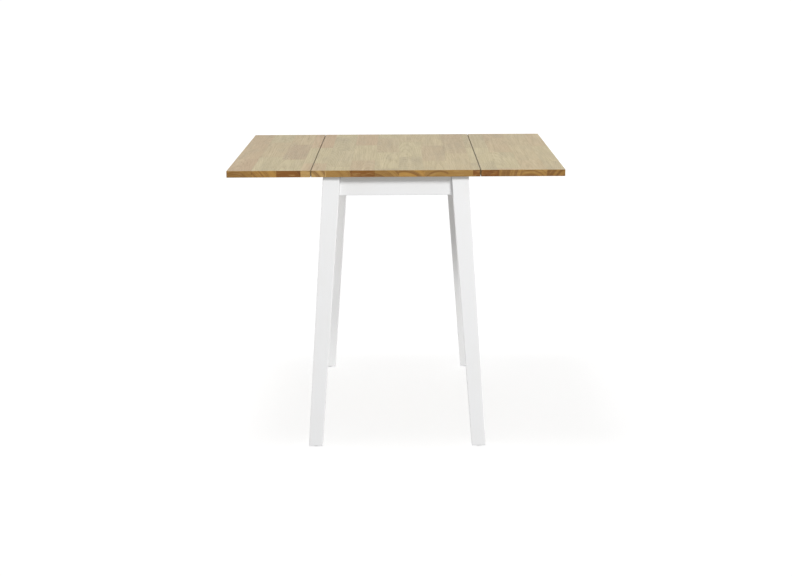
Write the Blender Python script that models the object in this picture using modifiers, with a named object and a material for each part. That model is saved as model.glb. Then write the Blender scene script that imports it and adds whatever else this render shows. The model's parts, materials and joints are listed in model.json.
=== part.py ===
"""Drop-leaf table: an oak centre top with two hinged leaves on a painted frame.

Metres, +Z up.  The origin is on the floor under the middle of the top, +X runs from leaf
to leaf and -Y is the front.  Every piece is its own object, and a piece that moves has its
origin on its joint's axis.
"""
from math import asin, atan2, cos, pi, sin, sqrt

import bmesh
import bpy
from mathutils import Matrix, Vector

# ---------------------------------------------------------------- driving sizes
OPEN_WIDTH = 0.900          # leaf edge to leaf edge with both leaves up
CENTRE_WIDTH = 0.450
TOP_DEPTH = 0.750
HEIGHT = 0.770
TOP_THICKNESS = 0.018
LEAF_JOINT = 0.0015         # open joint between the centre top and a leaf
TOP_ARRIS = 0.0007

FIT = 0.0003                # between pieces that rest on each other
PIN_CLEARANCE = 0.0001      # between a pin and its bore, on the radius

LEG_TOP_SIDE = 0.0458
LEG_FOOT_SIDE = 0.0380
LEG_TOP_X = 0.1945          # outer faces, from the middle of the table
LEG_TOP_Y = 0.3650
LEG_FOOT_X = 0.2453
LEG_FOOT_Y = 0.3950
LEG_ARRIS = 0.0015
SEAT_DEPTH = 0.006          # flat on the leg's inner corner, measured at its top

APRON_HEIGHT = 0.0520
APRON_THICKNESS = 0.020
APRON_SETBACK = 0.009       # behind the outer faces of the legs
APRON_ARRIS = 0.0008
GROOVE_WIDTH = 0.004
GROOVE_DEPTH = 0.008
GROOVE_DROP = 0.0105        # from the apron's top edge to the middle of the groove

BLOCK_THICKNESS = 0.028
BLOCK_HEIGHT = 0.046
BOLT_RADIUS = 0.003
BOLT_END_ARRIS = 0.0007
BOLT_IN_LEG = 0.038
BOLT_PAST_NUT = 0.004
NUT_ACROSS_FLATS = 0.010
NUT_HEIGHT = 0.005
NUT_FLANGE_RADIUS = 0.0075
NUT_FLANGE = 0.0015

GLIDE_RADIUS = 0.012
GLIDE_THICKNESS = 0.003
GLIDE_EDGE = 0.0008
NAIL_RADIUS = 0.0012
NAIL_LENGTH = 0.016
NAIL_POINT = 0.002

CLIP_STEEL = 0.0016
CLIP_WIDTH = 0.025
CLIP_TONGUE = 0.006
CLIP_STANDOFF = 0.0015
CLIP_REACH = 0.024
CLIP_SCREW_AT = 0.015
SCREW_RADIUS = 0.0018
SCREW_HOLE = 0.0022
SCREW_DEPTH = 0.012
SCREW_POINT = 0.002
SCREW_HEAD_RADIUS = 0.0040
SCREW_HEAD_FLAT = 0.0030    # radius of the flat on the head's face
SCREW_HEAD_WALL = 0.0011
SCREW_HEAD = 0.0022

HINGE_AT_Y = 0.220
HINGE_LENGTH = 0.060
HINGE_REACH = 0.030
HINGE_STEEL = 0.0016
KNUCKLE_RADIUS = 0.0032
KNUCKLES = 5
HINGE_PIN_RADIUS = 0.0015
HINGE_PIN_ARRIS = 0.0003
HINGE_SCREWS_APART = 0.036
HINGE_SCREW_AT = 0.019

STAY_PIVOT_OUT = 0.018      # pivot from the side apron's outer face
STAY_PIVOT_DROP = 0.0355    # pivot below the leaf's hinge axis
STRUT_LENGTH = 0.130
STRUT_WIDTH = 0.014
STRUT_THICKNESS = 0.005
STRUT_EYE_RADIUS = 0.006
STRUT_EYE_WIDTH = 0.0138
RIVET_RADIUS = 0.0025
RIVET_HEAD_RADIUS = 0.0042
RIVET_HEAD_FLAT = 0.0025
RIVET_HEAD_WALL = 0.0005
RIVET_HEAD = 0.0015
NOSE_RADIUS = 0.0055
NOSE_WIDTH = 0.018
CATCH_STEEL = 0.0016
CATCH_WIDTH = 0.022
CATCH_INNER = 0.020         # plate past the nose towards the hinge, leaf up
CATCH_OUTER = 0.016         # plate past the nose towards the leaf's edge, leaf down
CATCH_SCREW_INSET = 0.006
RIDGE_RADIUS = 0.003
RIDGE_LENGTH = 0.020
RIDGE_SUNK = 0.0005
RIDGE_AHEAD = 0.0080
BRACKET_LENGTH = 0.060
BRACKET_HEIGHT = 0.034
BRACKET_STEEL = 0.0016
BRACKET_SCREWS_APART = 0.044
EAR_RADIUS = 0.0075
WEB_HALF_HEIGHT = 0.0074    # of the straight part between the base and the ears
EAR_GAP = 0.015

ROUND_SIDES = 24
SMALL_SIDES = 16
THROUGH = 0.100             # length of a bit that goes right through any piece

# ---------------------------------------------------------------- worked-out places
UNDERSIDE = HEIGHT - TOP_THICKNESS
LEG_TOP = UNDERSIDE - FIT
LEG_BOTTOM = GLIDE_THICKNESS + FIT
APRON_TOP = UNDERSIDE - FIT
APRON_BOTTOM = APRON_TOP - APRON_HEIGHT
SIDE_FACE_X = LEG_TOP_X - APRON_SETBACK
FRONT_FACE_Y = LEG_TOP_Y - APRON_SETBACK
SIDE_INNER_X = SIDE_FACE_X - APRON_THICKNESS
FRONT_INNER_Y = FRONT_FACE_Y - APRON_THICKNESS
GROOVE_Z = APRON_TOP - GROOVE_DROP

HINGE_X = CENTRE_WIDTH / 2 + LEAF_JOINT / 2
HINGE_Z = UNDERSIDE - FIT - KNUCKLE_RADIUS

PIVOT_X = SIDE_FACE_X + STAY_PIVOT_OUT
PIVOT_Z = HINGE_Z - STAY_PIVOT_DROP
PIVOT_INBOARD = HINGE_X - PIVOT_X
CATCH_FACE = UNDERSIDE - FIT - CATCH_STEEL
NOSE_DROP = HINGE_Z - (CATCH_FACE - FIT - NOSE_RADIUS)
STRUT_RISE_UP = asin((STAY_PIVOT_DROP - NOSE_DROP) / STRUT_LENGTH)
STRUT_LEAN_DOWN = asin((PIVOT_INBOARD - NOSE_DROP) / STRUT_LENGTH)
NOSE_OUT_UP = STRUT_LENGTH * cos(STRUT_RISE_UP) - PIVOT_INBOARD
NOSE_OUT_DOWN = STRUT_LENGTH * cos(STRUT_LEAN_DOWN) + STAY_PIVOT_DROP

SIDES = {"left": -1, "right": 1}
ENDS = {"front": -1, "rear": 1}


# ---------------------------------------------------------------- scene and materials
for old in list(bpy.data.objects):
    bpy.data.objects.remove(old, do_unlink=True)

TABLE = bpy.data.collections.new("drop_leaf_table")
CUTTERS = bpy.data.collections.new("cutters")
for group in (TABLE, CUTTERS):
    bpy.context.scene.collection.children.link(group)


def finish(name, colour, roughness, metallic=0.0):
    """A Principled material of one colour."""
    made = bpy.data.materials.new(name)
    made.use_nodes = True
    shader = made.node_tree.nodes["Principled BSDF"]
    shader.inputs["Base Color"].default_value = (*colour, 1.0)
    shader.inputs["Roughness"].default_value = roughness
    shader.inputs["Metallic"].default_value = metallic
    made.diffuse_color = (*colour, 1.0)
    return made


OAK = finish("oiled_oak", (0.56, 0.42, 0.24), 0.45)
PAINT = finish("white_paint", (0.86, 0.86, 0.86), 0.40)
BIRCH = finish("raw_birch", (0.72, 0.58, 0.40), 0.65)
ZINC = finish("zinc_plated_steel", (0.62, 0.62, 0.60), 0.35, 1.0)
BLACK_NYLON = finish("black_nylon", (0.03, 0.03, 0.03), 0.50)
WHITE_NYLON = finish("white_nylon", (0.80, 0.80, 0.78), 0.45)


# ---------------------------------------------------------------- modelling helpers
def piece(name, mesh, material, location=(0, 0, 0), turn=(0, 0, 0)):
    """Put a finished mesh in the table's collection."""
    made = bpy.data.objects.new(name, mesh)
    mesh.materials.append(material)
    TABLE.objects.link(made)
    made.location = location
    made.rotation_euler = turn
    return made


def tool(name, mesh, location=(0, 0, 0), turn=(0, 0, 0)):
    """Put a mesh in the cutters' collection, where it only shapes other pieces."""
    made = bpy.data.objects.new(name, mesh)
    CUTTERS.objects.link(made)
    made.location = location
    made.rotation_euler = turn
    made.hide_render = True
    made.display_type = "WIRE"
    return made


def box_mesh(low, high):
    """A box between two corners."""
    shape = bmesh.new()
    bmesh.ops.create_cube(shape, size=1.0)
    for vertex in shape.verts:
        vertex.co = Vector(high[i] if vertex.co[i] > 0 else low[i] for i in range(3))
    return to_mesh(shape)


def rod_mesh(radius, length, sides=ROUND_SIDES, axis="Z"):
    """A round or many-sided bar centred on the origin, along one axis."""
    shape = bmesh.new()
    bmesh.ops.create_cone(shape, cap_ends=True, segments=sides, radius1=radius,
                          radius2=radius, depth=length)
    if axis != "Z":
        about = {"X": "Y", "Y": "X"}[axis]
        bmesh.ops.rotate(shape, verts=shape.verts, matrix=Matrix.Rotation(pi / 2, 3, about))
    mesh = to_mesh(shape)
    mesh.shade_smooth()
    mesh.set_sharp_from_angle(angle=pi / 6)
    return mesh


def to_mesh(shape):
    """Hand a bmesh over to a new mesh."""
    mesh = bpy.data.meshes.new("shape")
    shape.to_mesh(mesh)
    shape.free()
    return mesh


def outline_mesh(points):
    """The half outline of a turned piece, as (radius, height) pairs from top to bottom."""
    shape = bmesh.new()
    corners = [shape.verts.new((radius, 0, height)) for radius, height in points]
    for upper, lower in zip(corners, corners[1:]):
        shape.edges.new((upper, lower))
    return to_mesh(shape)


def turned(name, points, material, location=(0, 0, 0), turn=(0, 0, 0), sides=ROUND_SIDES):
    """A turned piece, from its outline."""
    made = piece(name, outline_mesh(points), material, location, turn)
    screw = made.modifiers.new("turn", "SCREW")
    screw.steps = sides
    screw.render_steps = sides
    screw.use_merge_vertices = True
    screw.merge_threshold = 0.00001
    return made


def arris(made, width, segments=2):
    """Ease every sharp edge."""
    bevel = made.modifiers.new("arris", "BEVEL")
    bevel.width = width
    bevel.segments = segments
    bevel.limit_method = "ANGLE"


def shape_with(made, other, operation="DIFFERENCE"):
    """Cut a piece with another shape, or join the two."""
    boolean = made.modifiers.new(operation.lower(), "BOOLEAN")
    boolean.operation = operation
    boolean.solver = "EXACT"
    boolean.object = other


def drill(made, label, radius, length, location, turn=(0, 0, 0), axis="Z", sides=SMALL_SIDES):
    """Drill a hole; the bit reaches half its length each way from the place."""
    bit = tool(f"{made.name}_{label}", rod_mesh(radius, length, sides, axis), location, turn)
    shape_with(made, bit)


def cut_box(made, label, low, high, location=(0, 0, 0), turn=(0, 0, 0)):
    """Cut a square-cornered recess."""
    shape_with(made, tool(f"{made.name}_{label}", box_mesh(low, high), location, turn))


# ---------------------------------------------------------------- oak top and leaves
def clip_places():
    """Each apron's clip: its name, the apron's inner face and the way in to the middle."""
    return [("front", (0, -FRONT_INNER_Y, 0), pi / 2), ("rear", (0, FRONT_INNER_Y, 0), -pi / 2),
            ("left", (-SIDE_INNER_X, 0, 0), 0), ("right", (SIDE_INNER_X, 0, 0), pi)]


def clip_point(face, way, reach, height):
    """A point at some reach in from an apron's inner face."""
    return face[0] + reach * cos(way), face[1] + reach * sin(way), height


def make_centre_top():
    """The fixed panel, with blind holes for the clip screws."""
    half = CENTRE_WIDTH / 2
    low = (-half, -TOP_DEPTH / 2, UNDERSIDE)
    made = piece("centre_top", box_mesh(low, (half, TOP_DEPTH / 2, HEIGHT)), OAK)
    arris(made, TOP_ARRIS)
    depth = SCREW_DEPTH + FIT
    for place, face, way in clip_places():
        x, y, z = clip_point(face, way, CLIP_SCREW_AT, UNDERSIDE)
        drill(made, f"hole_{place}", SCREW_HOLE, 2 * depth, (x, y, z))


def make_leaf(side, sign):
    """A hinged panel whose origin is on its hinge axis."""
    inner = CENTRE_WIDTH / 2 + LEAF_JOINT - HINGE_X
    outer = OPEN_WIDTH / 2 - HINGE_X
    x_ends = sorted((sign * inner, sign * outer))
    low = (x_ends[0], -TOP_DEPTH / 2, UNDERSIDE - HINGE_Z)
    high = (x_ends[1], TOP_DEPTH / 2, HEIGHT - HINGE_Z)
    made = piece(f"{side}_leaf", box_mesh(low, high), OAK, (sign * HINGE_X, 0, HINGE_Z))
    arris(made, TOP_ARRIS)


# ---------------------------------------------------------------- painted frame
def leg_section(height):
    """Outer x, outer y and side of a leg at a height."""
    down = (UNDERSIDE - height) / UNDERSIDE
    x = LEG_TOP_X + (LEG_FOOT_X - LEG_TOP_X) * down
    y = LEG_TOP_Y + (LEG_FOOT_Y - LEG_TOP_Y) * down
    side = LEG_TOP_SIDE + (LEG_FOOT_SIDE - LEG_TOP_SIDE) * down
    return x, y, side


# the diagonal through a corner of the frame: where the leg's seat and the block meet
SEAT_SUM = LEG_TOP_X + LEG_TOP_Y - 2 * LEG_TOP_SIDE + SEAT_DEPTH * sqrt(2)
BLOCK_SUM = SEAT_SUM - FIT * sqrt(2)
BLOCK_FACE_X = (BLOCK_SUM + SIDE_INNER_X - FRONT_INNER_Y) / 2
BLOCK_FACE_Y = (BLOCK_SUM - SIDE_INNER_X + FRONT_INNER_Y) / 2
BLOCK_HALF = (SIDE_INNER_X + FRONT_INNER_Y - BLOCK_SUM) / sqrt(2) - FIT * sqrt(2)
BLOCK_Z = APRON_TOP - APRON_HEIGHT / 2


def make_leg(end, side, x_sign, y_sign):
    """A square leg that tapers and splays both ways, with a seat, a bolt hole and a nail hole."""
    shape = bmesh.new()
    bmesh.ops.create_cube(shape, size=1.0)
    for vertex in shape.verts:
        height = LEG_TOP if vertex.co.z > 0 else LEG_BOTTOM
        x, y, width = leg_section(height)
        if vertex.co.x * x_sign < 0:
            x -= width
        if vertex.co.y * y_sign < 0:
            y -= width
        vertex.co = Vector((x_sign * x, y_sign * y, height))
    made = piece(f"{end}_{side}_leg", to_mesh(shape), PAINT)
    arris(made, LEG_ARRIS)
    heading = atan2(y_sign, x_sign)
    seat = (x_sign * BLOCK_FACE_X, y_sign * BLOCK_FACE_Y, BLOCK_Z)
    reach = BLOCK_THICKNESS + SEAT_DEPTH
    cut_box(made, "seat", (-reach, -reach, -APRON_HEIGHT / 2 - FIT), (FIT, reach, APRON_HEIGHT),
            seat, (0, 0, heading))
    drill(made, "bolt_hole", BOLT_RADIUS + FIT, 2 * (BOLT_IN_LEG + FIT), seat, (0, 0, heading), "X")
    x, y, width = leg_section(LEG_BOTTOM)
    foot = (x_sign * (x - width / 2), y_sign * (y - width / 2), LEG_BOTTOM)
    drill(made, "nail_hole", NAIL_RADIUS + FIT, 2 * (NAIL_LENGTH + FIT), foot)
    return foot


def make_glide(end, side, foot):
    """A nylon foot with its nail."""
    tip = GLIDE_THICKNESS + NAIL_LENGTH
    points = [(0, tip), (NAIL_RADIUS, tip - NAIL_POINT), (NAIL_RADIUS, GLIDE_THICKNESS),
              (GLIDE_RADIUS - GLIDE_EDGE, GLIDE_THICKNESS), (GLIDE_RADIUS, GLIDE_THICKNESS - GLIDE_EDGE),
              (GLIDE_RADIUS, GLIDE_EDGE), (GLIDE_RADIUS - GLIDE_EDGE, 0), (0, 0)]
    turned(f"{end}_{side}_glide", points, WHITE_NYLON, (foot[0], foot[1], 0))


def apron_mesh(face, length_at, along):
    """A board whose ends follow the splay; face holds its inner and outer faces."""
    shape = bmesh.new()
    bmesh.ops.create_cube(shape, size=1.0)
    across = 1 - along
    for vertex in shape.verts:
        height = APRON_TOP if vertex.co.z > 0 else APRON_BOTTOM
        half = length_at(height) - FIT
        place = [0.0, 0.0, height]
        place[along] = half if vertex.co[along] > 0 else -half
        place[across] = face[1] if vertex.co[across] > 0 else face[0]
        vertex.co = Vector(place)
    return to_mesh(shape)


def make_apron(name, sign, outer, half_length, along):
    """An apron between two legs, grooved inside for the clip."""
    inner = outer - APRON_THICKNESS
    made = piece(name, apron_mesh(sorted((sign * inner, sign * outer)), half_length, along), PAINT)
    arris(made, APRON_ARRIS, 1)
    low = [0, 0, GROOVE_Z - GROOVE_WIDTH / 2]
    high = [0, 0, GROOVE_Z + GROOVE_WIDTH / 2]
    low[along], high[along] = -TOP_DEPTH, TOP_DEPTH
    across = 1 - along
    bottom = inner + GROOVE_DEPTH
    low[across], high[across] = sorted((sign * (inner - GROOVE_DEPTH), sign * bottom))
    cut_box(made, "groove", low, high)


def between_side_legs(height):
    """Half the gap between a left and a right leg."""
    x, _, side = leg_section(height)
    return x - side


def between_end_legs(height):
    """Half the gap between a front and a rear leg."""
    _, y, side = leg_section(height)
    return y - side


def make_corner(end, side, x_sign, y_sign):
    """A corner block with its hanger bolt and flanged nut."""
    heading = atan2(y_sign, x_sign)
    face = (x_sign * BLOCK_FACE_X, y_sign * BLOCK_FACE_Y, BLOCK_Z)
    shape = bmesh.new()
    bmesh.ops.create_cube(shape, size=1.0)
    for vertex in shape.verts:
        back = BLOCK_THICKNESS if vertex.co.x < 0 else 0
        half = BLOCK_HALF + back
        vertex.co = Vector((-back, half if vertex.co.y > 0 else -half, vertex.co.z * BLOCK_HEIGHT))
    turn = (0, 0, heading)
    block = piece(f"{end}_{side}_corner_block", to_mesh(shape), BIRCH, face, turn)
    drill(block, "bolt_hole", BOLT_RADIUS + FIT, THROUGH, face, turn, "X")

    def on_bolt(reach):
        """A point on the bolt's axis, at some reach from the seat towards the leg."""
        return (Matrix.Translation(face) @ Matrix.Rotation(heading, 4, "Z")
                @ Vector((reach, 0, 0)))

    tail = BLOCK_THICKNESS + FIT + NUT_FLANGE + NUT_HEIGHT + BOLT_PAST_NUT
    bolt = piece(f"{end}_{side}_hanger_bolt", rod_mesh(BOLT_RADIUS, tail + BOLT_IN_LEG, SMALL_SIDES, "X"),
                 ZINC, on_bolt((BOLT_IN_LEG - tail) / 2), turn)
    arris(bolt, BOLT_END_ARRIS, 1)

    flange_face = -BLOCK_THICKNESS - FIT
    nut = piece(f"{end}_{side}_flange_nut", rod_mesh(NUT_FLANGE_RADIUS, NUT_FLANGE, ROUND_SIDES, "X"),
                ZINC, on_bolt(flange_face - NUT_FLANGE / 2), turn)
    hexagon_length = NUT_HEIGHT + NUT_FLANGE / 2
    hexagon = tool(f"{nut.name}_hexagon", rod_mesh(NUT_ACROSS_FLATS / sqrt(3), hexagon_length, 6, "X"),
                   on_bolt(flange_face - NUT_FLANGE / 2 - hexagon_length / 2), turn)
    shape_with(nut, hexagon, "UNION")
    drill(nut, "bore", BOLT_RADIUS + PIN_CLEARANCE, THROUGH, face, turn, "X")


# ---------------------------------------------------------------- clips under the top
def make_clip(place, face, way):
    """A bent steel clip: its tongue sits in the apron's groove, its flange under the top."""
    shape = bmesh.new()
    flange_z = UNDERSIDE - FIT - CLIP_STEEL / 2
    path = [(-CLIP_TONGUE, GROOVE_Z), (CLIP_STANDOFF, GROOVE_Z), (CLIP_STANDOFF, flange_z),
            (CLIP_REACH, flange_z)]
    rows = [[shape.verts.new((reach, half, height)) for reach, height in path]
            for half in (-CLIP_WIDTH / 2, CLIP_WIDTH / 2)]
    for near, far, near_next, far_next in zip(rows[0], rows[1], rows[0][1:], rows[1][1:]):
        shape.faces.new((near, near_next, far_next, far))
    made = piece(f"{place}_top_clip", to_mesh(shape), ZINC, face, (0, 0, way))
    thicken = made.modifiers.new("steel", "SOLIDIFY")
    thicken.thickness = CLIP_STEEL
    thicken.offset = 0
    thicken.use_even_offset = True
    x, y, z = clip_point(face, way, CLIP_SCREW_AT, flange_z)
    drill(made, "hole", SCREW_HOLE, THROUGH, (x, y, z))
    seat = flange_z - CLIP_STEEL / 2 - FIT
    tip = UNDERSIDE + SCREW_DEPTH
    points = [(0, tip), (SCREW_RADIUS, tip - SCREW_POINT), (SCREW_RADIUS, seat),
              (SCREW_HEAD_RADIUS, seat), (SCREW_HEAD_RADIUS, seat - SCREW_HEAD_WALL),
              (SCREW_HEAD_FLAT, seat - SCREW_HEAD), (0, seat - SCREW_HEAD)]
    turned(f"{place}_clip_screw", points, ZINC, (x, y, 0), sides=SMALL_SIDES)


# ---------------------------------------------------------------- leaf hinges
def knuckle_span(index):
    """The lower and upper end of one knuckle, along the hinge."""
    step = HINGE_LENGTH / KNUCKLES
    return -HINGE_LENGTH / 2 + index * step, -HINGE_LENGTH / 2 + (index + 1) * step


def make_hinge_plate(name, origin, sign, others):
    """A plate with its knuckles; others are the knuckles that the facing plate owns."""
    plate_top = KNUCKLE_RADIUS - FIT / 2
    ends = sorted((0, sign * HINGE_REACH))
    low = (ends[0], -HINGE_LENGTH / 2, plate_top - HINGE_STEEL)
    made = piece(name, box_mesh(low, (ends[1], HINGE_LENGTH / 2, plate_top)), ZINC, origin)
    barrel = tool(f"{name}_barrel", rod_mesh(KNUCKLE_RADIUS, HINGE_LENGTH, ROUND_SIDES, "Y"), origin)
    shape_with(made, barrel, "UNION")
    drill(made, "pin_hole", HINGE_PIN_RADIUS + PIN_CLEARANCE, THROUGH, origin, axis="Y",
          sides=ROUND_SIDES)
    room = KNUCKLE_RADIUS + FIT
    for index in others:
        start, stop = knuckle_span(index)
        cut_box(made, f"notch_{index}", (-room, start - FIT / 2, -room), (room, stop + FIT / 2, room),
                origin)
    for number, apart in enumerate((-HINGE_SCREWS_APART / 2, HINGE_SCREWS_APART / 2)):
        drill(made, f"screw_hole_{number}", SCREW_HOLE, THROUGH,
              (origin[0] + sign * HINGE_SCREW_AT, origin[1] + apart, origin[2]))


def make_hinge(side, end, x_sign, y_sign):
    """A butt hinge under the joint: a fixed plate, a leaf plate and the pin."""
    origin = (x_sign * HINGE_X, y_sign * HINGE_AT_Y, HINGE_Z)
    fixed = [index for index in range(KNUCKLES) if index % 2 == 0]
    swinging = [index for index in range(KNUCKLES) if index % 2]
    make_hinge_plate(f"{end}_{side}_hinge_fixed_plate", origin, -x_sign, swinging)
    make_hinge_plate(f"{end}_{side}_hinge_leaf_plate", origin, x_sign, fixed)
    pin = piece(f"{end}_{side}_hinge_pin",
                rod_mesh(HINGE_PIN_RADIUS, HINGE_LENGTH, ROUND_SIDES, "Y"), ZINC, origin)
    arris(pin, HINGE_PIN_ARRIS, 1)


# ---------------------------------------------------------------- folding leaf supports
def make_bracket(side, sign):
    """A steel bracket on the side apron, with two ears for the strut's pivot."""
    pivot = (sign * PIVOT_X, 0, PIVOT_Z)
    back = -STAY_PIVOT_OUT + FIT
    front = back + BRACKET_STEEL
    base_low = APRON_BOTTOM + 2 * APRON_ARRIS - PIVOT_Z
    ends = sorted((sign * back, sign * front))
    made = piece(f"{side}_stay_bracket",
                 box_mesh((ends[0], -BRACKET_LENGTH / 2, base_low),
                          (ends[1], BRACKET_LENGTH / 2, base_low + BRACKET_HEIGHT)), ZINC, pivot)
    half = EAR_GAP / 2 + BRACKET_STEEL
    reach = sorted((sign * (back + BRACKET_STEEL / 2), 0))
    web = tool(f"{side}_web", box_mesh((reach[0], -half, -WEB_HALF_HEIGHT),
                                       (reach[1], half, WEB_HALF_HEIGHT)), pivot)
    shape_with(made, web, "UNION")
    shape_with(made, tool(f"{side}_ears", rod_mesh(EAR_RADIUS, 2 * half, ROUND_SIDES, "Y"), pivot),
               "UNION")
    slot = sorted((sign * (front + FIT), sign * 2 * EAR_RADIUS))
    cut_box(made, "slot", (slot[0], -EAR_GAP / 2, -2 * EAR_RADIUS),
            (slot[1], EAR_GAP / 2, 2 * EAR_RADIUS), pivot)
    drill(made, "pivot_hole", RIVET_RADIUS + PIN_CLEARANCE, THROUGH, pivot, axis="Y")
    for number, apart in enumerate((-BRACKET_SCREWS_APART / 2, BRACKET_SCREWS_APART / 2)):
        drill(made, f"screw_hole_{number}", SCREW_HOLE, THROUGH,
              (pivot[0], apart, PIVOT_Z + base_low + BRACKET_HEIGHT / 2), axis="X")

    outer = half + FIT
    points = [(0, outer + RIVET_HEAD), (RIVET_HEAD_FLAT, outer + RIVET_HEAD),
              (RIVET_HEAD_RADIUS, outer + RIVET_HEAD_WALL), (RIVET_HEAD_RADIUS, outer),
              (RIVET_RADIUS, outer)]
    points += [(radius, -height) for radius, height in reversed(points)]
    turned(f"{side}_stay_rivet", points, ZINC, pivot, (pi / 2, 0, 0), SMALL_SIDES)


def make_strut(side, sign):
    """A steel strut that turns on the rivet, with a nylon nose that bears under the leaf."""
    pivot = (sign * PIVOT_X, 0, PIVOT_Z)
    turn = (0, -sign * STRUT_RISE_UP, 0)
    swing = Matrix.Translation(pivot) @ Matrix.Rotation(-sign * STRUT_RISE_UP, 4, "Y")
    half = STRUT_WIDTH / 2
    ends = sorted((sign * RIVET_RADIUS, sign * STRUT_LENGTH))
    strut = piece(f"{side}_stay_strut",
                  box_mesh((ends[0], -half, -STRUT_THICKNESS / 2), (ends[1], half, STRUT_THICKNESS / 2)),
                  ZINC, pivot, turn)
    eye = tool(f"{side}_strut_eye", rod_mesh(STRUT_EYE_RADIUS, STRUT_EYE_WIDTH, ROUND_SIDES, "Y"),
               pivot, turn)
    shape_with(strut, eye, "UNION")
    drill(strut, "pivot_hole", RIVET_RADIUS + PIN_CLEARANCE, THROUGH, pivot, turn, "Y")

    tip = swing @ Vector((sign * STRUT_LENGTH, 0, 0))
    nose = piece(f"{side}_stay_nose", rod_mesh(NOSE_RADIUS, NOSE_WIDTH, ROUND_SIDES, "Y"), BLACK_NYLON,
                 tip, turn)
    room = STRUT_THICKNESS / 2 + FIT
    slot = sorted((-sign * 2 * NOSE_RADIUS, sign * FIT))
    cut_box(nose, "slot", (slot[0], -half - FIT, -room), (slot[1], half + FIT, room), tip, turn)


def make_catch(side, sign):
    """A steel plate under the leaf that the nose slides along, with a ridge that stops it."""
    origin = (sign * HINGE_X, 0, HINGE_Z)
    top = UNDERSIDE - FIT - HINGE_Z
    start = NOSE_OUT_UP - CATCH_INNER
    stop = NOSE_OUT_DOWN + CATCH_OUTER
    ends = sorted((sign * start, sign * stop))
    made = piece(f"{side}_catch_plate",
                 box_mesh((ends[0], -CATCH_WIDTH / 2, top - CATCH_STEEL),
                          (ends[1], CATCH_WIDTH / 2, top)), ZINC, origin)
    ridge_at = (sign * (HINGE_X + NOSE_OUT_UP + RIDGE_AHEAD), 0, CATCH_FACE + RIDGE_SUNK)
    ridge = tool(f"{side}_ridge", rod_mesh(RIDGE_RADIUS, RIDGE_LENGTH, SMALL_SIDES, "Y"), ridge_at)
    above = tool(f"{side}_ridge_trim", box_mesh((-RIDGE_RADIUS * 2, -CATCH_WIDTH, CATCH_STEEL / 2),
                                                (RIDGE_RADIUS * 2, CATCH_WIDTH, RIDGE_RADIUS * 2)),
                 (ridge_at[0], 0, CATCH_FACE))
    shape_with(ridge, above)
    shape_with(made, ridge, "UNION")
    for number, out in enumerate((start + CATCH_SCREW_INSET, stop - CATCH_SCREW_INSET)):
        drill(made, f"screw_hole_{number}", SCREW_HOLE, THROUGH, (sign * (HINGE_X + out), 0, CATCH_FACE))


# ---------------------------------------------------------------- the whole table
make_centre_top()
for side, x_sign in SIDES.items():
    make_leaf(side, x_sign)
    make_apron(f"{side}_apron", x_sign, SIDE_FACE_X, between_end_legs, 1)
    make_bracket(side, x_sign)
    make_strut(side, x_sign)
    make_catch(side, x_sign)
for end, y_sign in ENDS.items():
    make_apron(f"{end}_apron", y_sign, FRONT_FACE_Y, between_side_legs, 0)
for place, face, way in clip_places():
    make_clip(place, face, way)
for end, y_sign in ENDS.items():
    for side, x_sign in SIDES.items():
        foot = make_leg(end, side, x_sign, y_sign)
        make_glide(end, side, foot)
        make_corner(end, side, x_sign, y_sign)
        make_hinge(side, end, x_sign, y_sign)
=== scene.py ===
"""The looks of a drop-leaf table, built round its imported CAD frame.  Metres, +Z up, -Y is the front."""
import json
from math import asin, cos, pi, radians, sin

import bmesh
import bpy
from mathutils import Matrix, Vector


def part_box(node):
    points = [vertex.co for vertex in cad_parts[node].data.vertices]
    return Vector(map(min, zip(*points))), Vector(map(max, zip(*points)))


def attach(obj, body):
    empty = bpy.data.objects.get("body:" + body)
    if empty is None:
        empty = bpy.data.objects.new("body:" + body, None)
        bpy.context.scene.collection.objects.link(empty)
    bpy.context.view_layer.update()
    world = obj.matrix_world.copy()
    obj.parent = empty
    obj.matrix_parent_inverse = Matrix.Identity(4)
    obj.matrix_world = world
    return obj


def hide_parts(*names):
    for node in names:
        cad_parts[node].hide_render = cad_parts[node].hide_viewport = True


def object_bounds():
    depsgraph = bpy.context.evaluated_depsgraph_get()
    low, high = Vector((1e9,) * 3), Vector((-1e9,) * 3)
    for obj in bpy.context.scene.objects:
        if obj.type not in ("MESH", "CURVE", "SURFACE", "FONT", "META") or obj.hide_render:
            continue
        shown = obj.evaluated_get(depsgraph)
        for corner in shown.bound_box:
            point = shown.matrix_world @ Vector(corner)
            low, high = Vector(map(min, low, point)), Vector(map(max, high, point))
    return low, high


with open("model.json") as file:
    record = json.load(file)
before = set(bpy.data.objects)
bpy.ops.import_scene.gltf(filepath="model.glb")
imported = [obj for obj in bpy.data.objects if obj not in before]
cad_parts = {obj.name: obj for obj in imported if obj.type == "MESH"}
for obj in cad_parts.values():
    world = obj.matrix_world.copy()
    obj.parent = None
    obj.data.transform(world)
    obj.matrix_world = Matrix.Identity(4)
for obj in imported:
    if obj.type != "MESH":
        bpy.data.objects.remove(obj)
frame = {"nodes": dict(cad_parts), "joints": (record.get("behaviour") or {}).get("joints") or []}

cad_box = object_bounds()
nodes = frame["nodes"]
joints = {joint["name"]: joint for joint in frame["joints"]}


# ------------------------------------------------------------------------------ oak panels
# The centre top and the two leaves are one glued-up panel of solid oak staves that run front
# to back.  It is sawn apart after planing, so each stave carries on across the open joints.
# The faces are oiled to a low sheen; stave ends drink more oil and go darker, and painted shade darkens the
# arrises along each open joint.

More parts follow.
